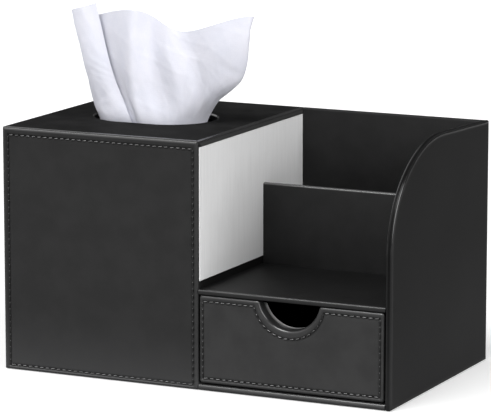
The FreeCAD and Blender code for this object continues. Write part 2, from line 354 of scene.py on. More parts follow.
def plainMaterial(name, s):
    # colour, gloss and bumps all from the same few layers of noise
    material, tree, shader, place = startMaterial(name, **s["shader"])
    place = moved = place["Object"]
    if "stretch" in s:
        moved = addNode(tree, "Mapping", Vector=place, Scale=s["stretch"]).outputs[0]
    if "wander" in s:
        moved = wandering(place, *s["wander"])
    layers = {label: noiseAt(moved, *noise) for label, noise in s.get("moved", {}).items()}
    layers.update({label: noiseAt(place, *noise) for label, noise in s["noises"].items()})
    layers["mixed"] = weighted(*((layers[label], share) for label, share in s["shares"].items()))
    if "dots" in s:
        layers["dots"] = addNode(tree, "TexVoronoi", Vector=place, Scale=s["dots"],
                                 Randomness=0.35).outputs["Distance"]
    put(shader["Base Color"], ramp(layers["mixed"], *s["colours"]))
    source, reach, base = s["roughness"]
    put(shader["Roughness"], calc("MULTIPLY_ADD", layers[source], reach, base))
    bumped(shader, *((layers[label], *depth) for label, *depth in s["bumps"]))
    return material


# the same black leather in copies lightened or darkened as painted light and shade for where each
# one sits: the drawer front and the top lighter, the inside, the drawer wall and the swept side
# darker, with more painted highlight on the side's rims; the top's gloss is taken off and its
# colour lifted in its place, a painted sheen
leather = leatherMaterial("blackLeather", lift=1.2, worn=2.4, coat=2.5, foot=0.85)
innerLeather = leatherMaterial("blackLeatherInside", lift=0.7, dullness=0.05, worn=1.5, coat=2.0)
drawerLeather = leatherMaterial("blackLeatherDrawer", lift=2.2, foot=0.35)
topLeather = leatherMaterial("blackLeatherTop", lift=1.8, specular=0.001,
                             pale=(0.055, 0.055, 0.055), worn=2.4, coat=2.5)
wallLeather = leatherMaterial("blackLeatherWall", lift=0.6, pale=(0.92, 0.92, 0.92))
sideLeather = leatherMaterial("blackLeatherSide", sideways=0.2, footHigh=0.09, lift=0.5,
                              foot=0.32, specular=0.024)
blackPaper = leatherMaterial("blackPaper", pebbles=5200.0, grainDepth=0.000015,
                             boardWave=0.0006, lift=0.9, dullness=0.22, specular=0.12)
thread = threadMaterial(threadSettings)
plain = {name: plainMaterial(name, settings) for name, settings in plainSettings.items()}
print("materials made")


def handOver(name, mesh, material, body, merged=True):
    # doubles merged where asked and faces turned outwards, then the piece is put in the scene
    # and given to its body
    made = bmesh.new()
    made.from_mesh(mesh)
    if merged:
        bmesh.ops.remove_doubles(made, verts=made.verts, dist=2e-6)
        bmesh.ops.dissolve_degenerate(made, edges=made.edges, dist=1e-7)
    if made.calc_volume(signed=True) < 0:
        bmesh.ops.reverse_faces(made, faces=made.faces)
    made.to_mesh(mesh)
    made.free()
    mesh.shade_smooth()
    mesh.materials.append(material)
    piece = inScene(name, mesh)
    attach(piece, body)
    return piece


def addPiece(name, node, points, faces, material, body="case",
             masks=None, angle=38.0):
    # a mesh in metres from points in millimetres, standing for its node, and shaded smooth
    # wherever two faces meet at less than the angle
    mesh = bpy.data.meshes.new(name)
    mesh.from_pydata((points.reshape(-1, 3) * mm).tolist(), [], faces)
    for label, values in (masks or {}).items():
        layer = mesh.attributes.new(label, "FLOAT", "POINT")
        layer.data.foreach_set("value", np.asarray(values, np.float32).ravel())
    piece = handOver(name, mesh, material, body)
    mesh.set_sharp_from_angle(angle=math.radians(angle))
    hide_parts(node)
    return piece


def ringFaces(ringCount, pointCount, looped=False, capped=False):
    # quads between each ring of points and the next, then from the last to the first if looped,
    # or a face across the first ring and one across the last if capped
    k = np.arange(ringCount if looped else ringCount - 1)[:, None]
    i = np.arange(pointCount)[None, :]
    a, b = k * pointCount, ((k + 1) % ringCount) * pointCount
    j = (i + 1) % pointCount
    faces = np.stack([a + i, a + j, b + j, b + i], -1).reshape(-1, 4).tolist()
    if capped:
        ring = np.arange(pointCount)
        faces += [ring[::-1].tolist(), (ring + (ringCount - 1) * pointCount).tolist()]
    return faces


def unit(vectors):
    # vectors brought to length 1
    return vectors / np.maximum(np.linalg.norm(vectors, axis=-1, keepdims=True), 1e-9)


def running(steps):
    # the total so far before each step, and after the last
    return np.concatenate([[0.0], np.cumsum(steps)])


def alongPath(path):
    # the running length at each point of a path of straight pieces
    return running(np.linalg.norm(np.diff(path, axis=0), axis=1))


def onPath(path, places):
    # the points of a path at some running lengths
    return np.stack([np.interp(places, alongPath(path), path[:, k]) for k in (0, 1)], 1)


def arc(centre, radius, start, turn, steps):
    # points round a centre, from a starting angle on through a turn
    turns = start + np.linspace(0.0, turn, steps + 1)
    return centre + radius * np.stack([np.cos(turns), np.sin(turns)], 1)


def sharedPoint(corner, inwardA, inwardB, insetA, insetB):
    # where the two sides at a corner meet once each has moved inwards by its own inset
    sides = np.array([inwardA, inwardB])
    if abs(np.linalg.det(sides)) < 1e-6:
        return corner + insetA * inwardA, corner + insetB * inwardB
    meeting = corner + np.linalg.solve(sides, np.array([insetA, insetB]))
    return meeting, meeting


def straightRun(start, end, step, mitred=False):
    # evenly spaced points from start to end, with the direction that is inwards (to the left)
    ends = np.array([start, end], float)
    count = max(1, int(round(np.linalg.norm(ends[1] - ends[0]) / step)))
    x, y = unit(ends[1] - ends[0])
    return {"points": ends, "normals": np.array([[-y, x]] * 2), "mitred": mitred,
            "share": np.linspace(0.0, 1.0, count + 1)[:, None]}


def outlineOf(runs, cornerRadius=0.0, arcSteps=5):
    # a closed outline, anticlockwise seen from outside, as a function of two insets: d for
    # wrapped sides and g for mitred ones; two wrapped sides meet in an arc about a fixed centre

    def cornerBetween(before, after, d, g):
        # where the first side ends, the arc if there is one, and where the second side starts
        inA, inB, corner = before["normals"][-1], after["normals"][0], after["points"][0]
        wrapped = not (before["mitred"] or after["mitred"])
        turning = abs(np.linalg.det(np.array([inA, inB]))) > 0.05
        if not (wrapped and turning and cornerRadius):
            insets = (g if run["mitred"] else d for run in (before, after))
            end, start = sharedPoint(corner, inA, inB, *insets)
            return end, np.empty((0, 2)), start
        inset, left = max(d, cornerRadius), max(cornerRadius - d, 0.0)
        centre, _ = sharedPoint(corner, inA, inB, inset, inset)
        share = np.linspace(0.0, 1.0, arcSteps + 2)[1:-1, None]
        turn = np.arccos(np.clip(inA @ inB, -1.0, 1.0))
        blend = np.sin((1 - share) * turn) * inA + np.sin(share * turn) * inB
        return centre - left * inA, centre - left * blend / np.sin(turn), centre - left * inB

    def outline(d, g):
        corners = [cornerBetween(*pair, d, g) for pair in zip(runs[-1:] + runs[:-1], runs)]
        parts = []
        for run, (_, arc, start), (end, _, _) in zip(runs, corners, corners[1:] + corners[:1]):
            if "share" in run:
                side = start * (1 - run["share"]) + end * run["share"]
            else:
                side = run["points"] + d * run["normals"]
            parts += [arc, side]
        return np.vstack(parts)

    return outline


def rectangle(low, high):
    # the corners of a rectangle, anticlockwise from the lower left one
    return [low, (high[0], low[1]), high, (low[0], high[1])]


def polygonRuns(s):
    # straight runs from each corner to the next, those at the places listed being mitred
    ends = zip(s["corners"], s["corners"][1:] + s["corners"][:1])
    return [straightRun(*pair, s["step"], i in s["mitred"]) for i, pair in enumerate(ends)]


def quarterRound(radius, steps=8):
    # a quarter circle over an edge, as pairs: one falls from the radius to nothing while the
    # other rises from nothing to the radius
    turns = np.linspace(0.0, math.pi / 2, steps + 1)
    return [(radius * (1 - math.sin(turn)), radius * (1 - math.cos(turn))) for turn in turns]


def boardProfile(s, insets, backInsets=(8.0,), steps=7):
    # rows of (inset of wrapped sides, inset of mitred sides, depth): across the face, a quarter
    # round over the rim, down the side, a quarter round and in across the back
    thickness, rim, backRim = s["thickness"], s["rim"], s["backRim"]
    rows = [(d, max(d, rim), 0.0) for d in insets if d > rim]
    for inset, depth in quarterRound(rim, steps):
        folded = rim - math.sqrt(max(rim**2 - (rim - depth)**2, 0.0))
        rows.append((inset, max(folded, depth), depth))
    rows += [(inset, thickness - left, thickness - left)
             for left, inset in quarterRound(backRim, steps)]
    rows += [(d, thickness + d - backRim, thickness) for d in backInsets if d > backRim]
    return np.array(rows)


def placedOn(origin, across, up, out):
    # turns (u, v, depth) into a place: along across and up from the origin, and in from the face
    origin, across, up, out = (np.array(v, float) for v in (origin, across, up, out))

    def place(u, v, depth):
        return origin + u[..., None] * across + v[..., None] * up - depth[..., None] * out

    return place


def rubbedAt(depth, most=0.35, reach=1.1, least=0.0):
    # how strongly a rim gets the paler rim colour, partly wear and partly painted highlight, by its
    # depth below a face: full at one depth, fading either side
    return np.clip(1.0 - np.abs(depth - most) / reach, least, 1.0)


# the seam is pressed in down to one depth, where its painted shade lies too, and rims get the paler
# rim colour, wear and painted highlight, within one inset
faceSettings = {"pressedTo": 0.9, "rimInset": 2.2, "backMost": 0.6}


def wrappedBoard(name, node, outline, profile, place, material, body="case", pressed=None,
                 hole=None, pale=None, backShine=0.0):
    # rings of the outline carried down the profile; the rings nearest the middle are closed with
    # one face each, or joined through the hole where the board has one; backShine is how strongly
    # the rim at the back gets the paler rim colour and coat too, a painted highlight
    inset, depth = profile[:, 0], profile[:, 2]
    rim = np.maximum(rubbedAt(depth),
                     rubbedAt(depth.max() - depth, faceSettings["backMost"]) * backShine)
    rim = np.where(inset > faceSettings["rimInset"], 0.0, rim)
    flat = np.stack([outline(d, g) for d, g, _ in profile])
    u, v = np.moveaxis(flat, -1, 0)
    rim, depth = (np.repeat(row[:, None], flat.shape[1], 1) for row in (rim, depth))
    masks = {"rim": rim}
    if pale:
        masks["pale"] = pale(u, v, depth)
    if pressed:
        onFace = depth < faceSettings["pressedTo"]
        sunk, hollow = pressed(u, v)
        masks["pressed"] = np.where(onFace, hollow, 0.0)
        depth = depth + np.where(onFace, sunk, 0.0)
    if hole:
        flatHole, depthHole, rimHole = hole(flat[0])
        flat = np.concatenate([flatHole, flat])
        depth = np.concatenate([depthHole, depth])
        masks = {label: np.concatenate([rimHole if label == "rim" else 0 * rimHole, values])
                 for label, values in masks.items()}
    faces = ringFaces(*depth.shape, looped=bool(hole), capped=not hole)
    addPiece(name, node, place(*np.moveaxis(flat, -1, 0), depth), faces, material, body,
             masks=masks)


def nearestOnPath(u, v, path):
    # each point's distance from the path, and how far along the path its nearest place lies
    p = np.stack([u, v], -1)
    run = np.diff(path, axis=0)
    reach = alongPath(path)
    best, where = np.full(u.shape, 1e9), np.zeros(u.shape)
    for a, r, before, after in zip(path, run, reach, reach[1:]):
        share = np.clip(((p - a) @ r) / (r @ r), 0.0, 1.0)
        gap = np.linalg.norm(p - a - share[..., None] * r, axis=-1)
        nearer = gap < best
        best = np.where(nearer, gap, best)
        where = np.where(nearer, before + share * (after - before), where)
    return best, where


def seamPress(path, s):
    # leather drawn down along a seam: a soft valley of Gaussian section, deeper at each needle
    # hole, and a mask of painted shade, faint along the valley and strongest in the holes
    total = alongPath(path)[-1]
    pitch = total / round(total / s["pitch"])

    def pressed(u, v):
        gap, where = nearestOnPath(u, v, path)
        phase = np.abs((where / pitch + 0.5) % 1.0 - 0.5) * pitch
        valley = np.exp(-(gap / s["valleyWidth"])**2)
        needle = np.exp(-(gap / s["holeWidth"])**2 - (phase / s["holeWidth"])**2)
        pillow = s["pillow"] * np.exp(-((gap - s["pillowAt"]) / s["pillowAt"])**2)
        sunk = s["valley"] * valley + s["hole"] * needle - pillow
        return sunk, np.clip(s["valleyShade"] * valley + needle, 0, 1)

    return pressed


def stitchThreads(name, paths, s, place, body):
    # one short thread per stitch: a capsule with round ends, bowed up in the middle and slanted
    # a little across the seam, repeated by adding its ring points to each stitch's frame
    frames = []
    for path in paths:
        total = alongPath(path)[-1]
        count = int(round(total / s["pitch"]))
        middle = (np.arange(count) + 0.5) * (total / count)
        start, end = (onPath(path, middle + way * s["length"] / 2) for way in (-1, 1))
        frames.append(np.concatenate([(start + end) / 2, unit(end - start)], 1))
    cu, cv, ru, rv = np.concatenate(frames).T[..., None]
    stations = np.array(s["stations"])[:, None]
    thick = s["thickness"] / 2 * np.array(s["girth"])[:, None]
    sides = s["sides"]
    turn = np.arange(sides) / sides * 2 * math.pi
    x = stations * s["length"] / 2 + 0 * turn
    y = (thick * np.cos(turn) + s["slant"] * x / s["length"]).ravel()
    h = (thick * np.sin(turn) * s["flatness"] - s["bow"] * stations**2).ravel()
    x = x.ravel()
    u, v = cu + ru * x - rv * y, cv + rv * x + ru * y
    points = place(u, v, np.broadcast_to(-h, u.shape)).reshape(-1, 3)
    one = [np.array(face) for face in ringFaces(len(stations), sides, capped=True)]
    faces = [(face + i).tolist() for i in range(0, len(points), len(x)) for face in one]
    mesh = bpy.data.meshes.new(name)
    mesh.from_pydata((points * mm).tolist(), [], faces)
    corner = np.zeros(len(mesh.loops), np.int64)
    mesh.loops.foreach_get("vertex_index", corner)
    corner %= len(x)
    uv = np.stack([corner // sides / (len(stations) - 1.0), corner % sides / sides], 1)
    mesh.uv_layers.new(name="UVMap").data.foreach_set("uv", uv.astype(np.float32).ravel())
    handOver(name, mesh, thread, body, merged=False)


stitchSettings = {"pitch": 4.0, "length": 2.7, "thickness": 0.82, "slant": 0.25, "bow": 0.36,
                  "stations": (-1.0, -0.93, -0.72, -0.35, 0.0, 0.35, 0.72, 0.93, 1.0),
                  "girth": (0.05, 0.55, 0.9, 1.0, 1.0, 1.0, 0.9, 0.55, 0.05),
                  "sides": 8, "flatness": 0.85, "valley": 0.42, "valleyWidth": 0.95,
                  "valleyShade": 0.35, "hole": 0.60, "holeWidth": 0.50, "pillow": 0.12,
                  "pillowAt": 2.2}

facePlace = placedOn((0, -76, 0), (1, 0, 0), (0, 0, 1), (0, -1, 0))
backPlace = placedOn((0, 76, 0), (-1, 0, 0), (0, 0, 1), (0, 1, 0))
leftPlace = placedOn((-130, 0, 0), (0, -1, 0), (0, 0, 1), (-1, 0, 0))
topPlace = placedOn((0, 0, 152), (1, 0, 0), (0, 1, 0), (0, 0, 1))
rightPlace = placedOn((130, 0, 0), (0, 1, 0), (0, 0, 1), (1, 0, 0))

plainInsets = (12.0, 5.0, 2.6)


def stitchedFront(name, stitches, node, outline, profile, sides, material, body):
    # a wrapped board in the front plane, with a row of stitches along each side of its seam
    seam = np.vstack([sides[0]] + [side[1:] for side in sides[1:]])
    wrappedBoard(name, node, outline, profile, facePlace, material, body,
                 pressed=seamPress(seam, stitchSettings))
    stitchThreads(stitches, sides, stitchSettings, facePlace, body)


housingSettings = {"thickness": 4.0, "rim": 1.8, "backRim": 0.6}
frontPanelSettings = {**housingSettings, "corners": rectangle((-130, 0), (4, 152)),
                      "mitred": (2, 3), "step": 0.6, "corner": 1.0,
                      "seam": rectangle((-125.8, 2.9), (0.3, 146.7)),
                      "insets": [14.0, 10.0, *np.linspace(8.0, 1.75, 26)]}


def makeFrontPanel(s):
    # the stitched panel of the housing: mitred at its left and top, wrapped at its right and foot
    seam = np.array(s["seam"] + s["seam"][:1])
    stitchedFront("housing_front_panel", "housing_front_stitches", "front_panel",
                  outlineOf(polygonRuns(s), s["corner"]), boardProfile(s, s["insets"]),
                  [seam[i:i + 2] for i in range(4)], leather, "case")


makeFrontPanel(frontPanelSettings)
print("housing front made")

leftPanelSettings = {**housingSettings, "corners": rectangle((-76, 0), (76, 152)),
                     "mitred": (1, 2, 3), "step": 4.0}


def makePlainPanel(name, node, s, place):
    # a plain panel: the rings of a straight-sided outline, each side wrapped or mitred, carried
    # down the profile
    wrappedBoard(name, node, outlineOf(polygonRuns(s)), boardProfile(s, plainInsets), place,
                 leather)


makePlainPanel("housing_left_panel", "left_panel", leftPanelSettings, leftPlace)

topPanelSettings = {**housingSettings, "corners": rectangle((-130, -76), (4.6, 76)),
                    "mitred": (0, 2, 3), "step": 1.6, "insets": (14.0, 6.0, 2.6),
                    "mouth": (-63.0, 0.0), "mouthLength": 79.0, "mouthWidth": 57.0,
                    "mouthRim": 1.3, "mouthFoot": 0.5, "rubbedWithin": 1.6, "paleFrom": 0.9,
                    "paleRightOf": 4.3}


def makeTopPanel(s):
    # the top with its oblong mouth: rings start at the mouth's foot, rise through a rounded rim
    # and spread over the face, each mouth point lying on the ray of its outline point
    centre, radius = np.array(s["mouth"]), s["mouthWidth"] / 2
    halfStraight = s["mouthLength"] / 2 - radius

    def mouthRing(rays, grow):
        # where each ray from the centre leaves an oblong: a straight edge or a round end
        r = radius + grow
        cx, cy = np.abs(rays).T
        straight = r / np.maximum(cy, 1e-9)
        along = halfStraight * cx
        rounded = along + np.sqrt(np.maximum(along**2 - halfStraight**2 + r**2, 0.0))
        reach = np.where(cx * straight <= halfStraight, straight, rounded)
        return centre + rays * reach[:, None]

    def hole(firstRing):
        # rows of (distance from the mouth's edge, depth), from the underside up to the face
        rays = unit(firstRing - centre)
        rim, thick, foot = s["mouthRim"], s["thickness"], s["mouthFoot"]
        rows = [(8.0, thick), (foot, thick)]
        rows += [(out, thick - up) for out, up in quarterRound(foot, 4)]
        rows += [(out, deep) for deep, out in quarterRound(rim, 7)]
        grow, depth = np.array(rows + [(2.2, 0.0), (5.0, 0.0)]).T
        # the mouth's rim gets the paler rim colour: wear and painted highlight
        rubbed = (0 < depth) & (depth < rim + 0.1) & (grow < s["rubbedWithin"])
        rings = np.stack([mouthRing(rays, g) for g in grow])
        return rings, *(np.repeat(row[:, None], len(rays), 1) for row in (depth, 1.0 * rubbed))

    def scuffed(u, v, depth):
        # the side that faces the shelf is painted a little paler than the top: painted light
        return np.clip(depth - s["paleFrom"], 0.0, 1.0) * (u > s["paleRightOf"])

    wrappedBoard("housing_top_panel", "top_panel", outlineOf(polygonRuns(s)),
                 boardProfile(s, s["insets"], (6.0,)), topPlace, topLeather, hole=hole,
                 pale=scuffed)


makeTopPanel(topPanelSettings)

# the back is mitred at both sides and under the top panel, and wrapped along the rest
backPanelSettings = {**housingSettings, "backRim": 1.5, "mitred": (1, 2, 4), "step": 6.0,
                     "corners": [(-130, 0), (130, 0), (130, 152), (-4.6, 152), (-130, 152)]}
makePlainPanel("back_board", "back_panel", backPanelSettings, backPlace)

rightPanelSettings = {"front": -76.0, "back": 76.0, "height": 152.0, "springAt": 92.0,
                      "crownAt": -1.0, "crown": 155.0, "thickness": 4.0, "rim": 1.5,
                      "backRim": 1.5, "corner": 1.0, "step": 5.0}


def makeRightPanel(s):
    # the swept side: straight up, a quarter ellipse, then the tangent down to the rear corner
    f, k, h = s["front"], s["back"], s["height"]
    a, b = s["crownAt"] - f, s["crown"] - s["springAt"]
    across, up = (k - s["crownAt"]) / a, (h - s["springAt"]) / b
    touch = math.atan2(across, up) - math.acos(1.0 / math.hypot(across, up))
    turn = np.linspace(-touch, math.pi / 2, 67)
    x, z = a * np.sin(turn), b * np.cos(turn)            # from the touch down to the spring line
    curve = np.stack([s["crownAt"] - x, s["springAt"] + z], 1)
    outward = unit(np.stack([-x / a**2, z / b**2], 1))
    runs = [straightRun((f, 0), (k, 0), s["step"]), straightRun((k, 0), (k, h), s["step"], True),
            straightRun((k, h), curve[0], s["step"]),
            {"points": curve, "normals": -outward, "mitred": False},
            straightRun((f, s["springAt"]), (f, 0), s["step"])]
    wrappedBoard("swept_side_panel", "right_panel", outlineOf(runs, s["corner"]),
                 boardProfile(s, plainInsets, (2.6, 6.0, 12.0)), rightPlace, sideLeather,
                 backShine=1.0)


makeRightPanel(rightPanelSettings)
print("housing and side boards made")


def sweptBoard(name, node, x, y, z, rubbed, material):
    # a closed section carried across from left to right: x, y, z and the rim mask (wear and painted
    # highlight) each fill a grid of (station, point of the section)
    x, y, z, rubbed = np.broadcast_arrays(x, y, z, rubbed)
    addPiece(name, node, np.stack([x, y, z], -1), ringFaces(*x.shape, capped=True), material,
             masks={"rim": rubbed})


shelfSettings = {"low": (4, -76), "high": (126, 13.6), "top": 62.0, "thickness": 3.0, "rim": 1.0,
                 "lowerRim": 0.45}
baseSettings = {"low": (4, -76), "high": (126, 72), "top": 4.0, "thickness": 4.0, "rim": 1.9,
                "lowerRim": 1.9, "pocketLow": (12, -68), "pocketHigh": (118, 64),
                "pocketDepth": 0.6}


def makeLyingBoard(name, node, s, material):
    # a board that lies flat, wrapped round its front edge and cut square at the other three, with
    # a shallow pocket in its underside where felt is let in
    (x0, y0), (x1, y1), thick = s["low"], s["high"], s["thickness"]
    rim, low, wall = s["rim"], s["lowerRim"], 0.01
    section = [(y, 0.0) for y in [*np.linspace(y1, y0 + rim + 0.7, 12), y0 + rim]]
    section += [(y0 + left, deep) for left, deep in quarterRound(rim)[1:]]
    section += [(y0 + inset, thick - left) for left, inset in quarterRound(low)]
    x, pocket = list(np.linspace(x0, x1, 25)), "pocketLow" in s
    if pocket:
        (px0, py0), (px1, py1) = s["pocketLow"], s["pocketHigh"]
        x = sorted(x + [px0, px0 + wall, px1 - wall, px1])
        section += [(y, thick) for y in (py0, py0 + wall, py1 - wall, py1)]
    x = np.array(x)[:, None]
    y, depth = np.array(section + [(y1, thick)]).T
    rubbed = np.where(y < y0 + rim + 0.1, rubbedAt(depth, least=0.4), 0.0)
    if pocket:
        within = (depth == thick) & (y > py0 + wall / 2) & (y < py1 - wall / 2)
        within = within & (x > px0 + wall / 2) & (x < px1 - wall / 2)
        depth = np.where(within, thick - s["pocketDepth"], depth)
    sweptBoard(name, node, x, y, s["top"] - depth, rubbed, material)


makeLyingBoard("shelf", "shelf_board", shelfSettings, innerLeather)
makeLyingBoard("base", "base_board", baseSettings, leather)

dividerSettings = {"low": (4, 4), "high": (126, 113), "front": 13.6, "thickness": 4.0, "rim": 1.5,
                   "clearFrom": 67.0, "liningThickness": 0.6}


def makeDivider(s):
    # the upright behind the shelf, its top rounded over and its left edge clear of the lining
    (x0, z0), (x1, z1), rim = s["low"], s["high"], s["rim"]
    y0, y1, clear = s["front"], s["front"] + s["thickness"], s["clearFrom"] - 0.01
    section = [(y0, z0)] + [(y0, z) for z in np.linspace(clear, z1 - rim, 8)]
    section += [(y0 + inset, z1 - left) for left, inset in quarterRound(rim)[1:]]
    section += [(y1 - left, z1 - deep) for left, deep in quarterRound(rim)]
    y, z = np.array(section + [(y1, clear), (y1, z0)]).T
    left = np.where(z > clear - 0.04, x0 + s["liningThickness"], x0)
    share = np.linspace(0.0, 1.0, 25)[:, None]
    sweptBoard("divider", "divider_panel", left * (1 - share) + x1 * share, y, z,
               rubbedAt(z1 - z), leather)


makeDivider(dividerSettings)

drawerFrontSettings = {"low": (4.8, 4.8), "high": (125.2, 58.7), "thickness": 6.0, "rim": 1.5,
                       "backRim": 0.5, "corner": 1.6, "notchAt": (64.0, 62.4),
                       "notchRadius": 20.1, "lipRadius": 1.6,
                       "seamInsets": (2.1, 2.4, 2.9, 3.9), "seamAt": (63.8, 60.4),
                       "seamRadius": 23.5, "step": 0.6,
                       "insets": [10.0, *np.linspace(8.0, 1.55, 27)]}


def notchedOutline(s):
    # a rectangle with a round bite in its top edge; the lips are arcs about fixed centres until
    # the inset passes their radius, then the bite and the edge simply cross
    (x0, z0), (x1, z1) = s["low"], s["high"]
    (cx, cz), step, corner = s["notchAt"], s["step"], s["corner"]
    big, lip = s["notchRadius"], s["lipRadius"]
    lipX = math.sqrt((big + lip)**2 - (cz - (z1 - lip))**2)
    arcSteps, lipSteps, notchSteps = 5, 6, int(big * 2.4 / step)
    sideSteps, footSteps = int((z1 - z0) / step), int((x1 - x0) / step)
    topSteps = int((cx - x0 - big) / step)

    def line(steps, start, end):
        return start + np.linspace(0.0, 1.0, steps + 1)[:, None] * np.subtract(end, start)

    def cornerArc(right, top, fromTurn, d):
        # a quarter round corner, its centre moving in once the inset passes its radius
        move = max(corner, d)
        centre = (x1 - move if right else x0 + move, z1 - move if top else z0 + move)
        return arc(centre, max(corner - d, 0.0), fromTurn, math.pi / 2, arcSteps)

    def outline(d, g):
        a, b, e, f = x0 + d, z0 + d, x1 - d, z1 - d
        c = max(corner - d, 0.0)
        if d < lip:
            topEnd, theta = lipX, math.atan2(lipX, cz - (z1 - lip))
            rightLip = arc((cx + lipX, z1 - lip), lip - d, math.pi / 2, math.pi - theta, lipSteps)
        else:
            topEnd = math.sqrt((big + d)**2 - (cz - f)**2)
            theta = math.atan2(topEnd, cz - f)
            rightLip = np.repeat(np.array([[cx + topEnd, f]]), lipSteps + 1, 0)
        leftLip = rightLip[::-1] * (-1.0, 1.0) + (2 * cx, 0.0)
        bite = arc((cx, cz), big + d, theta - math.pi / 2, -2 * theta, notchSteps)
        return np.vstack([line(footSteps, (a + c, b), (e - c, b)),
                          cornerArc(True, False, -math.pi / 2, d),
                          line(sideSteps, (e, b + c), (e, f - c)),
                          cornerArc(True, True, 0.0, d),
                          line(topSteps, (e - c, f), (cx + topEnd, f)), rightLip, bite, leftLip,
                          line(topSteps, (cx - topEnd, f), (a + c, f)),
                          cornerArc(False, True, math.pi / 2, d),
                          line(sideSteps, (a, f - c), (a, b + c)),
                          cornerArc(False, False, math.pi, d)])

    return outline


def makeDrawerFront(s):
    # the stitched drawer front with its finger notch, the seam following the notch round
    (x0, z0), (x1, z1) = s["low"], s["high"]
    (cx, cz), radius = s["seamAt"], s["seamRadius"]
    inLeft, inRight, inFoot, inTop = s["seamInsets"]
    left, right, foot, top = x0 + inLeft, x1 - inRight, z0 + inFoot, z1 - inTop
    reach = math.sqrt(radius**2 - (cz - top)**2)
    theta = math.atan2(reach, cz - top)
    ends = [(left, foot), (right, foot), (right, top), (cx + reach, top), (cx - reach, top),
            (left, top), (left, foot)]
    sides = [np.array(pair) for pair in zip(ends, ends[1:])]
    sides[3] = arc((cx, cz), radius, theta - math.pi / 2, -2 * theta, 60)
    stitchedFront("drawer_front_panel", "drawer_front_stitches", "drawer_front",
                  notchedOutline(s), boardProfile(s, s["insets"], (4.0,)), sides, drawerLeather,
                  "drawer")


makeDrawerFront(drawerFrontSettings)

drawerWallSettings = {"low": (5.2, 4.4), "high": (124.8, 56.0), "thickness": 5.0, "rim": 0.35,
                      "backRim": 1.1, "corner": 1.6, "notchAt": (64.0, 62.4),
                      "notchRadius": 20.1, "lipRadius": 1.2, "step": 1.2, "paleAt": 4.0,
                      "paleWidth": 0.45, "paleReach": 3.0}


def makeDrawerWall(s):
    # the box wall behind the drawer front, notched alike, its inner edge rounded over
    place = placedOn((0, -70, 0), (1, 0, 0), (0, 0, 1), (0, -1, 0))

    def pale(u, v, depth):
        # a narrow pale line near the back, round the notch
        reach = np.hypot(u - s["notchAt"][0], v - s["notchAt"][1])
        line = np.exp(-((depth - s["paleAt"]) / s["paleWidth"])**2)
        return line * np.clip(s["notchRadius"] + s["paleReach"] - reach, 0.0, 1.0)

    wrappedBoard("drawer_box_front", "drawer_front_wall", notchedOutline(s),
                 boardProfile(s, (6.0,), (2.6, 6.0)), place, wallLeather, "drawer", pale=pale)


makeDrawerWall(drawerWallSettings)
print("drawer front made")

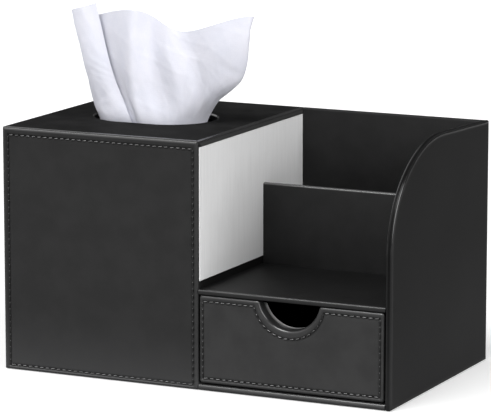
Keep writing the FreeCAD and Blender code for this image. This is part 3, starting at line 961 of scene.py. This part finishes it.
tissueSheetSettings = {
    # fold lines from the stack up to the torn edge, each level (x, y, z)
    "foldLines": {
        "freeEdge": [(-66.6, -26.3, 152.3), (-73.6, -22.5, 163.9), (-82.4, -19.5, 179.8),
                     (-90.0, -16.0, 198.9), (-97.7, -13.0, 222.6)],
        "stripMid": [(-77.0, -26.2, 152.2), (-83.0, -24.5, 163.6), (-90.5, -22.0, 180.9),
                     (-98.5, -18.5, 201.2), (-105.1, -15.0, 220.2)],
        "leftFold": [(-91.5, -19.6, 152.0), (-97.4, -17.0, 161.9), (-104.1, -15.0, 181.1),
                     (-111.5, -12.0, 202.2), (-116.5, -10.0, 216.2)],
        "behindFold": [(-96.5, -11.5, 152.0), (-99.0, -11.0, 161.6), (-103.8, -9.0, 180.3),
                       (-110.6, -6.5, 201.6), (-115.6, -5.0, 214.1)],
        "underStrip": [(-73.5, -22.6, 152.0), (-81.3, -18.5, 163.5), (-88.7, -15.5, 178.9),
                       (-95.7, -12.0, 198.1), (-101.4, -9.0, 214.1)],
        "valleyBy": [(-65.2, -24.0, 152.2), (-72.8, -20.0, 164.3), (-79.8, -17.0, 179.7),
                     (-86.2, -14.0, 198.3), (-91.1, -11.0, 216.8)],
        "leftCrest": [(-58.8, -26.9, 152.3), (-63.2, -25.0, 165.6), (-66.6, -23.5, 181.3),
                      (-67.6, -21.5, 199.0), (-69.5, -17.5, 220.1)],
        "broadValley": [(-45.2, -25.0, 152.3), (-49.6, -20.5, 167.1), (-56.1, -17.0, 184.9),
                        (-60.4, -14.0, 198.5), (-61.1, -11.0, 216.9)],
        "midCrest": [(-36.3, -22.0, 152.8), (-36.4, -22.0, 168.1), (-41.5, -20.0, 185.5),
                     (-46.4, -17.0, 198.5), (-47.7, -13.0, 210.5)],
        "rightValley": [(-31.2, -17.0, 152.8), (-26.7, -18.0, 170.7), (-30.2, -16.5, 187.6),
                        (-34.1, -14.0, 198.2), (-37.2, -12.0, 208.0)],
        "rightCrest": [(-27.9, -12.4, 153.0), (-18.6, -16.5, 169.8), (-15.8, -18.0, 186.2),
                       (-15.1, -18.0, 201.0), (-16.5, -15.0, 213.2)],
        "rightPanel": [(-26.3, -8.4, 153.0), (-13.9, -13.5, 169.7), (-4.8, -15.5, 182.3),
                       (-0.6, -17.0, 202.4), (-0.5, -14.5, 218.2)],
        "rightEdge": [(-25.5, -4.7, 153.0), (-12.7, -9.0, 167.9), (2.5, -11.5, 181.9),
                      (7.6, -14.0, 204.3), (9.4, -12.0, 219.8)],
        "backRight": [(-28.5, 4.0, 152.8), (-17.0, 0.5, 168.0), (-4.5, -4.0, 183.5),
                      (-0.5, -5.5, 202.0), (2.2, -5.0, 214.5)],
        "backMid": [(-46.0, 12.0, 152.3), (-43.0, 12.0, 167.0), (-37.0, 10.0, 184.0),
                    (-33.5, 8.0, 196.0), (-32.0, 7.0, 203.0)],
        "backLeft": [(-67.0, 8.0, 152.0), (-69.0, 10.0, 167.0), (-72.0, 11.0, 183.0),
                     (-73.0, 10.0, 197.0), (-73.5, 9.0, 206.0)],
    },
    "middle": -63.0, "stackTop": 113.2, "across": 260, "up": 150, "thickness": 0.16,
    "flat": (0.180, 0.180), "seed": 11, "waves": (9.0, 13.0, 17.0, 23.0, 31.0),
    "crumples": 14, "stripWidth": 9.0, "gatherWidth": 0.16,
    # how far each pushes the sheet out: pleats anywhere and more where they gather, the
    # crumple and the crinkles; and how much the mouth holds them in
    "pleat": 0.10, "gather": 0.32, "crumple": 0.16, "crinkle": 0.14, "mouthHold": 0.55,
}


def smoothThrough(values, at, wanted):
    # a natural cubic spline through values (first axis) known at some places, read at others
    flat = values.reshape(len(at), -1)
    gap = np.diff(at)
    system = np.eye(len(at))
    known = np.zeros_like(flat)
    for i in range(1, len(at) - 1):
        system[i, i - 1:i + 2] = gap[i - 1], 2 * (gap[i - 1] + gap[i]), gap[i]
        known[i] = 6 * ((flat[i + 1] - flat[i]) / gap[i] - (flat[i] - flat[i - 1]) / gap[i - 1])
    bend = np.linalg.solve(system, known)
    k = np.clip(np.searchsorted(at, wanted) - 1, 0, len(gap) - 1)
    h = gap[k][:, None]
    a = (at[k + 1] - wanted)[:, None] / h
    b = 1 - a
    curve = ((a**3 - a) * bend[k] + (b**3 - b) * bend[k + 1]) * h**2 / 6
    return (a * flat[k] + b * flat[k + 1] + curve).reshape((len(wanted),) + values.shape[1:])


def gridNormals(grid):
    # the unit normal at each point of a grid, from the cross of its two directions
    return unit(np.cross(np.gradient(grid, axis=0), np.gradient(grid, axis=1)))


def makeTissueSheet(s):
    # a surface of two parameters: fold lines splined upwards, then across from one to the next,
    # with pleats that gather at the mouth, slanting crinkles on the turned strip and a crumple
    lines = np.array(list(s["foldLines"].values()))
    lip, middle, stackTop = lines[:, 0], s["middle"], s["stackTop"]
    layer = (lip[:, 1] + 27) / 40                                   # 0 in front, 1 at the back

    def below(spread, y, z):
        # a level under the mouth, its lines spread about the middle
        return np.stack([middle + (lip[:, 0] - middle) * spread, y, z + 0 * layer], 1)

    levels = np.stack([below(1.15, 44 + 5 * layer, stackTop + 2.4 - 1.6 * layer),
                       below(0.9, 16 + 4 * layer, stackTop + 2.8 - 1.6 * layer),
                       below(0.80, lip[:, 1] * 0.35 + 4, 120.0),
                       below(0.88, lip[:, 1] * 0.75, 138.0), *lines.transpose(1, 0, 2)])
    heights = running(np.linalg.norm(np.diff(levels, axis=0), axis=2).mean(1))
    up = np.linspace(0.0, heights[-1], s["up"])
    grid = smoothThrough(levels, heights, up)                       # (up, line, 3)
    places = running(np.linalg.norm(np.diff(levels[5:], axis=1), axis=2).mean(0))
    across = np.linspace(0.0, places[-1], s["across"])
    grid = smoothThrough(grid.transpose(1, 0, 2), places, across)   # (across, up, 3)
    u, v = across[:, None] / places[-1], up[None, :] / heights[-1]
    overLip = v - heights[4] / heights[-1]
    rng = np.random.default_rng(s["seed"])
    gathered = np.exp(-(overLip / s["gatherWidth"])**2)
    pleats = 0.0
    for wave in s["waves"]:
        turns = wave * u + rng.uniform(-1.5, 1.5) * v
        pleats = pleats + (6.0 / wave) * np.sin(2 * math.pi * turns + rng.uniform(0, 6.28))
    crumple = 0.0
    for _ in range(s["crumples"]):
        a, b = rng.uniform(-26, 26), rng.uniform(-9, 9)
        fold = 1 - np.abs(np.sin(math.pi * (a * u + b * v) + rng.uniform(0, 6.28)))
        crumple = crumple + fold**3 * rng.uniform(-1, 1)
    onStrip = np.exp(-((u * places[-1] - places[1]) / s["stripWidth"])**2)
    crinkle = np.sin(2 * math.pi * (21 * v + 1.3 * np.sin(17 * v) - 16 * u)) * onStrip
    crinkle = crinkle * np.clip(overLip / 0.2, 0, 1) * (0.5 + 0.5 * np.sin(31 * v + 2.0))
    steady = np.clip((v - 0.18) / 0.12, 0, 1)            # the part lying on the stack is calm
    push = (s["pleat"] + s["gather"] * gathered) * pleats
    push = push + s["crumple"] * crumple + s["crinkle"] * crinkle
    push = push * steady * (1 - s["mouthHold"] * np.exp(-(overLip / 0.05)**2))
    grid = grid + gridNormals(grid) * push[..., None]
    off = gridNormals(grid) * s["thickness"] / 2
    index = np.arange(grid[..., 0].size).reshape(grid.shape[:2])
    front = np.stack([index[:-1, :-1], index[1:, :-1], index[1:, 1:], index[:-1, 1:]], -1)
    front = front.reshape(-1, 4)
    back = front[:, ::-1] + index.size
    rim = np.concatenate([index[:, 0], index[-1, 1:], index[-2::-1, -1], index[0, -2:0:-1]])
    nextRim = np.roll(rim, -1)
    side = np.stack([nextRim, rim, rim + index.size, nextRim + index.size], -1)
    faces = np.concatenate([front, back, side]).tolist()
    piece = addPiece("pulled_tissue", "tissue_sheet", np.stack([grid + off, grid - off]), faces,
                     plain["tissuePaper"], angle=80.0)


tissueStackSettings = {"low": (-118.0, -55.0, 5.2), "high": (-8.0, 55.0, 113.2), "corner": 5.0,
                       "sheets": 45, "rowsPerSheet": 4, "around": 120, "edgeDepth": 0.55,
                       "lid": (0.94, 0.75, 0.4), "seed": 4}


def makeTissueStack(s):
    # folded tissues one on another: the outline goes in and out once per fold, each fold a
    # little different, and rings of the top outline drawn inwards close the top
    (x0, y0, z0), (x1, y1, z1), r = s["low"], s["high"], s["corner"]
    rng = np.random.default_rng(s["seed"])
    corners = ((x1 - r, y1 - r), (x0 + r, y1 - r), (x0 + r, y0 + r), (x1 - r, y0 + r))
    loop = np.vstack([arc(centre, r, i * math.pi / 2, math.pi / 2, 5)
                      for i, centre in enumerate(corners)])
    loop = np.vstack([loop, loop[:1]])
    total = alongPath(loop)[-1]
    place = np.linspace(0.0, total, s["around"] + 1)[:-1]
    base = onPath(loop, place)
    middle = base.mean(0)
    outward = unit(base - middle)
    rows = s["sheets"] * s["rowsPerSheet"] + 1
    phase = np.arange(rows) / s["rowsPerSheet"]
    bulge = np.abs(np.sin(math.pi * phase))[:, None]
    own = np.repeat(rng.uniform(0.2, 1.0, s["sheets"] + 1), s["rowsPerSheet"])[:rows, None]
    wave = rng.uniform(0, 6.28, s["sheets"] + 1)
    sway = np.stack([np.sin(2 * math.pi * (2 + i % 3) * place / total + w)
                     for i, w in enumerate(wave)])[phase.astype(int)]
    inset = s["edgeDepth"] * (1.6 - bulge - 0.3 * own - 0.3 * sway)
    rings = base - outward * inset[..., None]
    lid = [middle + (rings[-1] - middle) * shrink for shrink in s["lid"]]
    rings = np.concatenate([rings, lid])
    z = np.append(np.linspace(z0, z1, rows), [z1] * len(lid))
    points = np.dstack([rings, np.repeat(z[:, None], len(base), 1)])
    addPiece("tissue_stack_folds", "tissue_stack", points,
             ringFaces(*points.shape[:2], capped=True), plain["tissuePaper"],
             angle=50.0)


makeTissueStack(tissueStackSettings)
makeTissueSheet(tissueSheetSettings)
print("tissues made")

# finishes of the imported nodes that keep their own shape
nodeFinish = (
    (leather, ["bottom_flap"]), (plain["greyLining"], ["wall_lining"]),
    (innerLeather, ["inner_wall", "flap_hinge_strip", "flap_pull_tab"]),
    (blackPaper, ["drawer_left_side", "drawer_right_side", "drawer_back", "drawer_bottom"]),
    (plain["blackFelt"], ["base_felt", "drawer_felt"]), (plain["bareFibreboard"], ["stop_batten"]),
    (plain["platedSteel"], ["flap_steel_discs", "stop_magnets"]))
for finish, names in nodeFinish:
    for name in names:
        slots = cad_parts[name].data.materials
        slots.clear()
        slots.append(finish)

stageSettings = {"floor": (0.90, 0.90, 0.90), "floorLift": 0.36, "world": 0.07, "drop": -0.0002,
                 "half": 8.0,
                 # each (azimuth, elevation, spread, strength), the angles in degrees
                 "lamps": {"overhead": (-14.0, 61.0, 34.0, 1.5), "front": (-22.0, 24.0, 60.0, 0.85),
                           "right": (73.0, 26.0, 50.0, 1.9), "back": (250.0, 36.0, 60.0, 0.5)}}


def makeStage(s):
    # a wide pale floor that shows white to the eye and in gloss, and still takes the shadow;
    # seen from below, the floor isn't there
    mesh = bpy.data.meshes.new("floor")
    corners = [(x * s["half"], y * s["half"], s["drop"])
               for x, y in ((-1, -1), (1, -1), (1, 1), (-1, 1))]
    mesh.from_pydata(corners, [], [(0, 1, 2, 3)])
    inScene("floor", mesh)
    material, tree, shader, _ = startMaterial(
        "paleFloor", Base_Color=(*s["floor"], 1.0), Roughness=0.9, Specular_IOR_Level=0.0)
    paths = addNode(tree, "LightPath").outputs
    seen = calc("ADD", paths["Is Camera Ray"], paths["Is Glossy Ray"])
    seen = calc("ADD", seen, paths["Is Transmission Ray"], clamp=True)
    glow = addNode(tree, "Emission", Strength=calc("MULTIPLY", seen, s["floorLift"]))
    both, clear = addNode(tree, "AddShader"), addNode(tree, "MixShader")
    for socket, value in (
            (both.inputs[0], tree.nodes["Principled BSDF"].outputs[0]),
            (both.inputs[1], glow.outputs[0]), (clear.inputs[1], both.outputs[0]),
            (clear.inputs[0], addNode(tree, "NewGeometry").outputs["Backfacing"]),
            (clear.inputs[2], addNode(tree, "BsdfTransparent").outputs[0]),
            (tree.nodes["Material Output"].inputs["Surface"], clear.outputs[0])):
        put(socket, value)
    mesh.materials.append(material)
    for name, (azimuth, elevation, spread, strength) in s["lamps"].items():
        # each lamp is a broad soft disc far away, so that the whole floor is lit alike
        data = bpy.data.lights.new(name, "SUN")
        data.energy, data.angle = strength, math.radians(spread)
        aimed(name, data, azimuth, elevation, 2.0)
    world = bpy.data.worlds.new("studio")
    bpy.context.scene.world = world
    world.use_nodes = True
    sky = world.node_tree.nodes["Background"].inputs
    put(sky["Color"], (1.0, 1.0, 1.0, 1.0))
    put(sky["Strength"], s["world"])
    bpy.context.scene.view_settings.view_transform = "Standard"


makeStage(stageSettings)
print("stage made")
